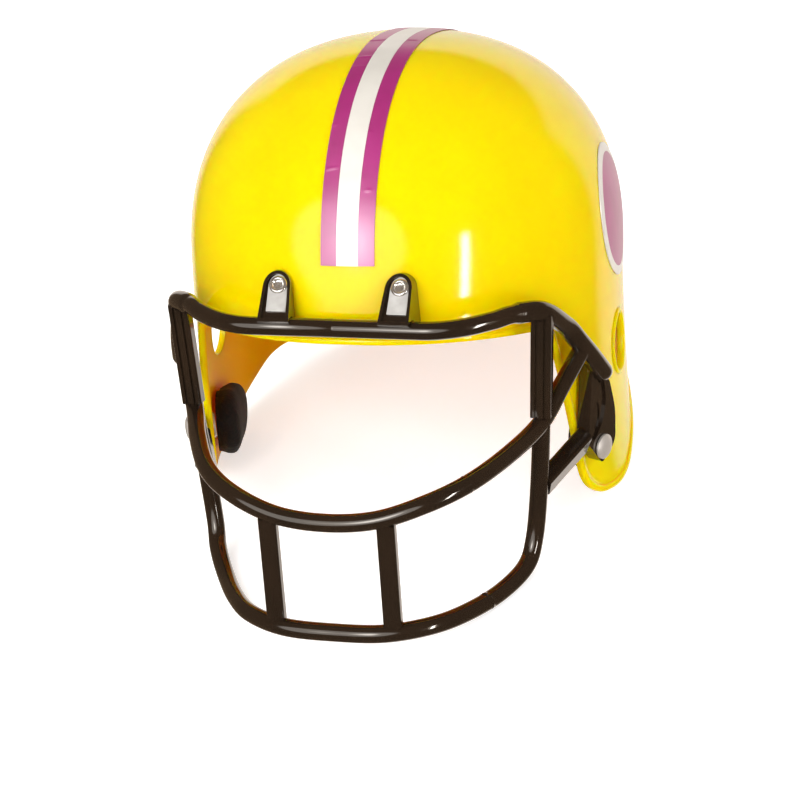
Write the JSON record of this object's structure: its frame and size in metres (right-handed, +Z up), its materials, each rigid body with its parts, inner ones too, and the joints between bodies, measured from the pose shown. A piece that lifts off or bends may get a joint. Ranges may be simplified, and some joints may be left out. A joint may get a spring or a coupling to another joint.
{
  "type": "sport helmet with face guard",
  "caption": "Glossy sport helmet shell with ear flaps, padded inside, and a three-bar face guard that clips to the brow and swings up.",
  "frame": {"origin": "centre of the bounding box, on the surface that the helmet stands on", "axes": "+X to the wearer's left, +Y to the back of the head, +Z up; the helmet rests tipped back on its ear flaps and nape edge"},
  "size_m": [0.2072, 0.3123, 0.2051],
  "materials": {
    "shell": "glossy moulded",
    "white_film": "satin vinyl film",
    "purple_film": "satin vinyl film",
    "guard": "semi-gloss moulded",
    "bright_steel": "bright plated",
    "cap_metal": "satin",
    "foam": "matt foam"
  },
  "bodies": {
    "helmet": {"shell": "shell", "film_centre": "white_film", "film_left": "purple_film", "film_right": "purple_film", "badge_left": "purple_film", "badge_right": "purple_film", "badge_border_left": "white_film", "badge_border_right": "white_film", "clip_left": "guard", "clip_right": "guard", "clip_strap_left": "bright_steel", "clip_strap_right": "bright_steel", "clip_rivets": "bright_steel", "rivet_washers": "bright_steel", "flap_studs": "bright_steel", "jaw_pad_left": "foam", "jaw_pad_right": "foam", "brow_pad": "foam", "crown_pad": "foam", "nape_pad": "foam"},
    "guard": {"top_bar": "guard", "middle_bar": "guard", "chin_bar": "guard", "face_post_left": "guard", "face_post_right": "guard", "mouth_post_left": "guard", "mouth_post_right": "guard", "side_plate_left": "guard", "side_plate_right": "guard", "strut_left": "guard", "strut_right": "guard"},
    "cap_left": {"stud_cap_left": "cap_metal"},
    "cap_right": {"stud_cap_right": "cap_metal"}
  },
  "joints": [
    {"name": "guard_swing", "type": "hinge", "parent": "helmet", "child": "guard", "pos_m": [0, -0.09159, 0.12724], "axis": [1, 0, 0], "range_deg": [-70, 0]},
    {"name": "cap_left_pull", "type": "slide", "parent": "guard", "child": "cap_left", "axis": [0.9223, -0.381, 0.0651], "range_m": [0, 0.003]},
    {"name": "cap_right_pull", "type": "slide", "parent": "guard", "child": "cap_right", "axis": [-0.9223, -0.381, 0.0651], "range_m": [0, 0.003]}
  ]
}
